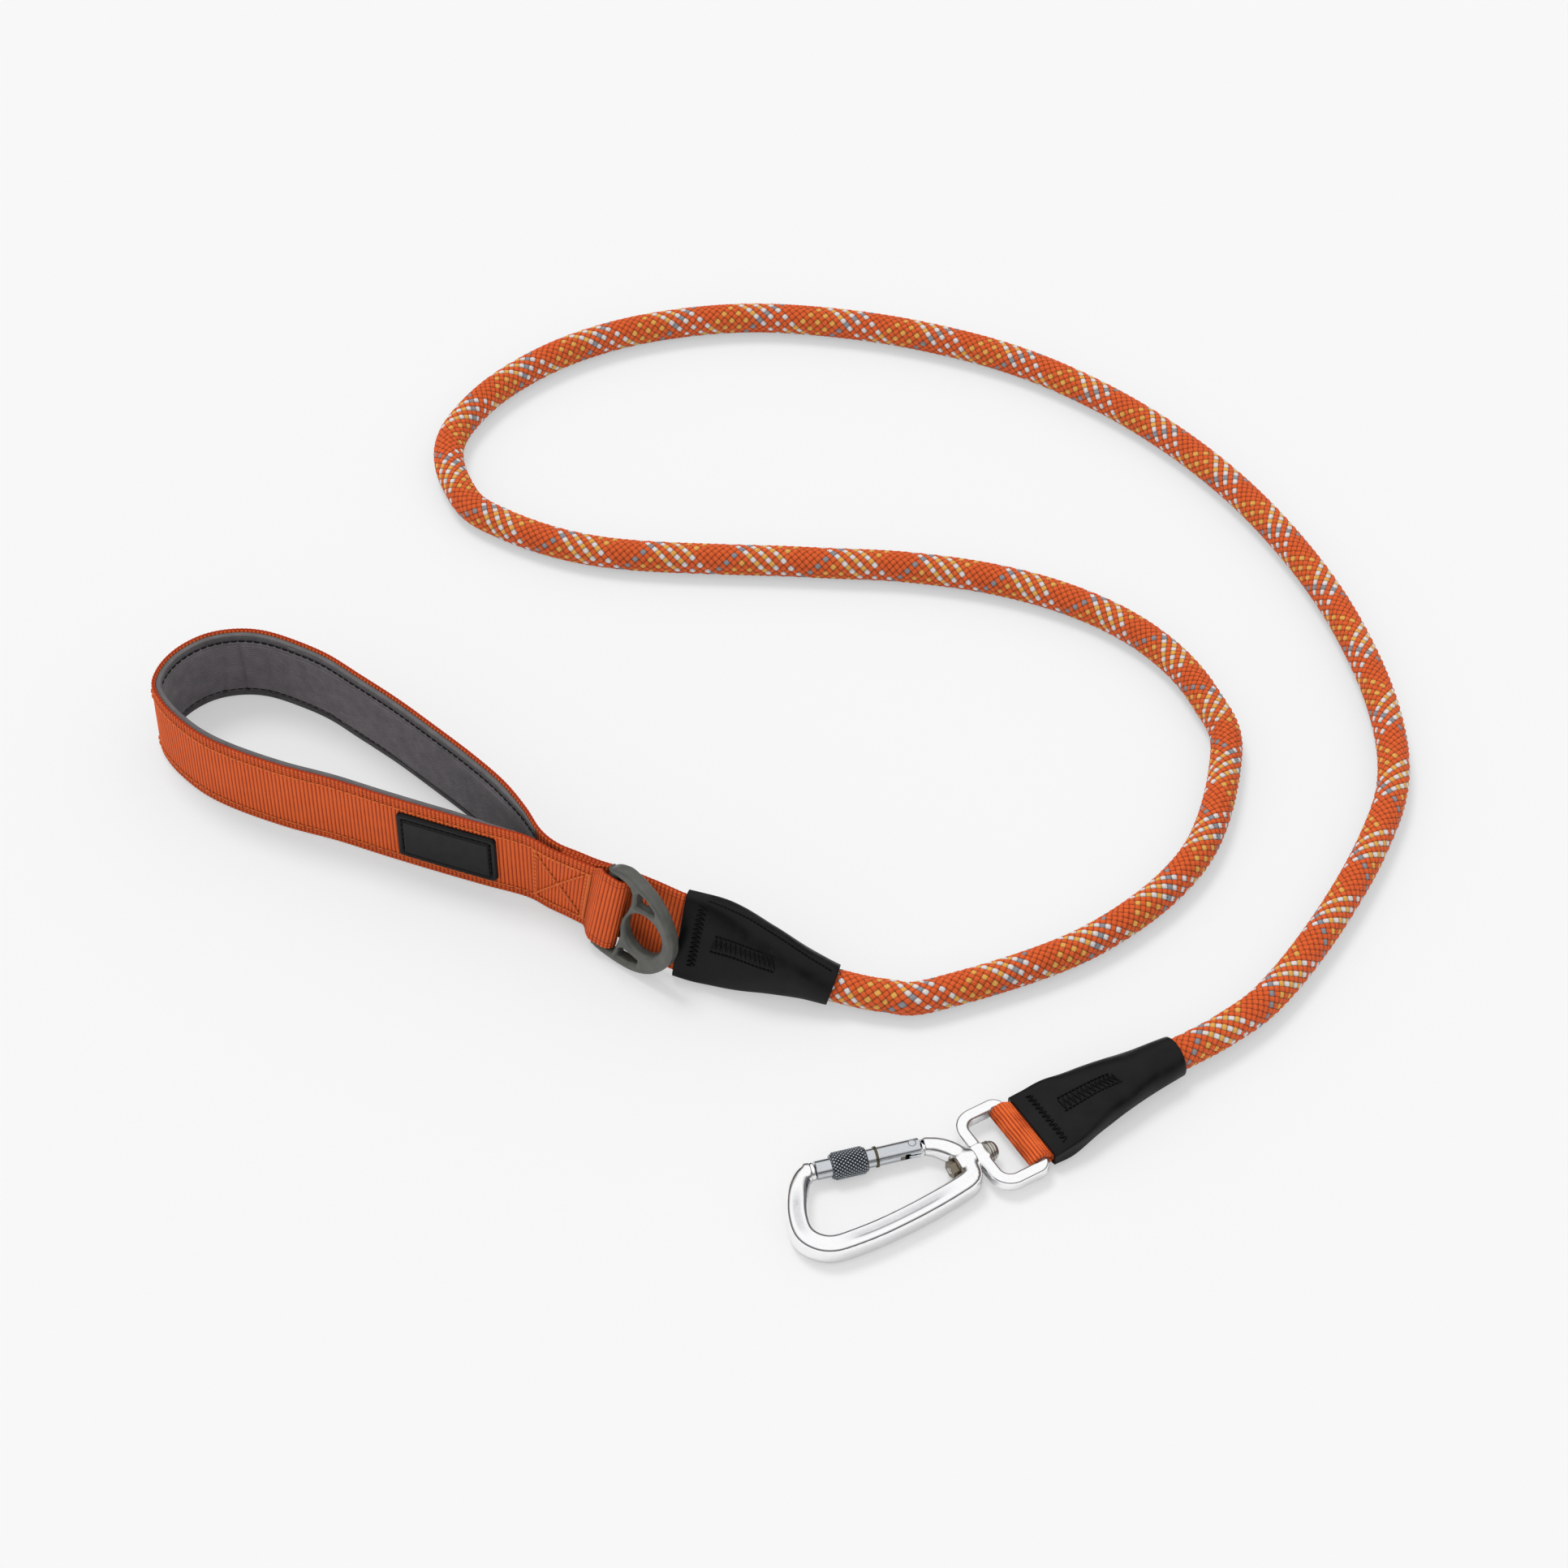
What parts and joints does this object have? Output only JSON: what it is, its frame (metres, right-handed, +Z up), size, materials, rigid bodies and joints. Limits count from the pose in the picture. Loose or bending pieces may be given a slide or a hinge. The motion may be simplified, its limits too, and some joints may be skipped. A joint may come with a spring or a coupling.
{
  "type": "rope dog leash",
  "caption": "Leash of braided kernmantle rope with a padded webbing hand loop, leather end sleeves, a ring with a finger hole and a swivel clip with a screw-lock gate.",
  "frame": {"origin": "centre of the box of everything but the rope, on the surface it lies on", "axes": "+X along the leash's longer side towards the clip, +Y away from the user, +Z up"},
  "size_m": [0.4223, 0.4352, 0.0383],
  "materials": {
    "webbing": "orange ribbed nylon webbing",
    "lining": "grey knitted padding",
    "binding": "grey woven edge tape",
    "orange_thread": "orange lockstitch thread",
    "black_rubber": "matt black rubber",
    "black_thread": "black thread",
    "grey_moulding": "grey matt die casting",
    "leather": "black smooth leather",
    "rope_sheath": "orange, white, yellow and grey braid",
    "rope_core": "white twisted nylon",
    "satin_steel": "satin polished",
    "steel": "plain steel",
    "gate_metal": "polished tube",
    "lock_metal": "dark anodised knurl"
  },
  "bodies": {
    "leash": {"handle_webbing": "webbing", "handle_lining": "lining", "lining_binding": "binding", "handle_stitching": "orange_thread", "box_stitching": "orange_thread", "label_patch": "black_rubber", "label_stitching": "black_thread", "handle_sleeve": "leather", "handle_sleeve_stitching": "black_thread", "rope_sheath": "rope_sheath", "rope_core": "rope_core", "clip_sleeve": "leather", "clip_sleeve_stitching": "black_thread", "clip_webbing": "webbing"},
    "accessory_ring": {"accessory_ring": "grey_moulding"},
    "swivel_ring": {"swivel_ring": "satin_steel", "swivel_washers": "satin_steel"},
    "carabiner": {"carabiner_body": "satin_steel", "swivel_pin": "satin_steel", "swivel_nut": "steel"},
    "gate": {"gate_tube": "gate_metal", "gate_rivet": "steel", "gate_stop_ring": "steel", "gate_spring": "steel"},
    "plunger": {"gate_plunger": "steel"},
    "lock_ring": {"lock_friction_ring": "black_rubber"},
    "lock_sleeve": {"lock_sleeve": "lock_metal"}
  },
  "joints": [
    {"name": "accessory_ring_hinge", "type": "hinge", "parent": "leash", "child": "accessory_ring", "pos_m": [-0.0125, 0.0076, 0.0191], "axis": [-0.1954, -0.0879, -0.9768], "range_deg": [-3, 110]},
    {"name": "swivel_ring_hinge", "type": "hinge", "parent": "leash", "child": "swivel_ring", "pos_m": [0.11736, -0.07427, 0.0045], "axis": [-0.515, 0.8572, 0], "range_deg": [0, 100]},
    {"name": "carabiner_spin", "type": "hinge", "parent": "swivel_ring", "child": "carabiner", "pos_m": [0.1045, -0.082, 0.0045], "axis": [0.8572, 0.515, 0], "continuous": true},
    {"name": "gate_hinge", "type": "hinge", "parent": "carabiner", "child": "gate", "pos_m": [0.08356, -0.07918, 0.0045], "axis": [0, 0, 1], "range_deg": [0, 28], "stiffness_Nm_per_rad": 0.05, "springref_deg": -17.19},
    {"name": "lock_slide", "type": "slide", "parent": "gate", "child": "lock_ring", "axis": [0.9613, 0.2756, 0], "range_m": [-0.0062, 0.0022]},
    {"name": "plunger_slide", "type": "slide", "parent": "gate", "child": "plunger", "axis": [-0.9613, -0.2756, 0], "range_m": [-0.0006, 0], "stiffness_N_per_m": 50, "springref_m": -0.005},
    {"name": "lock_turn", "type": "hinge", "parent": "lock_ring", "child": "lock_sleeve", "pos_m": [0.06914, -0.08332, 0.0045], "axis": [0.9613, 0.2756, 0], "range_deg": [-905, 330]}
  ],
  "couplings": [
    {"joint": "lock_turn", "follows": "lock_slide", "rad_per_m": 2513}
  ]
}
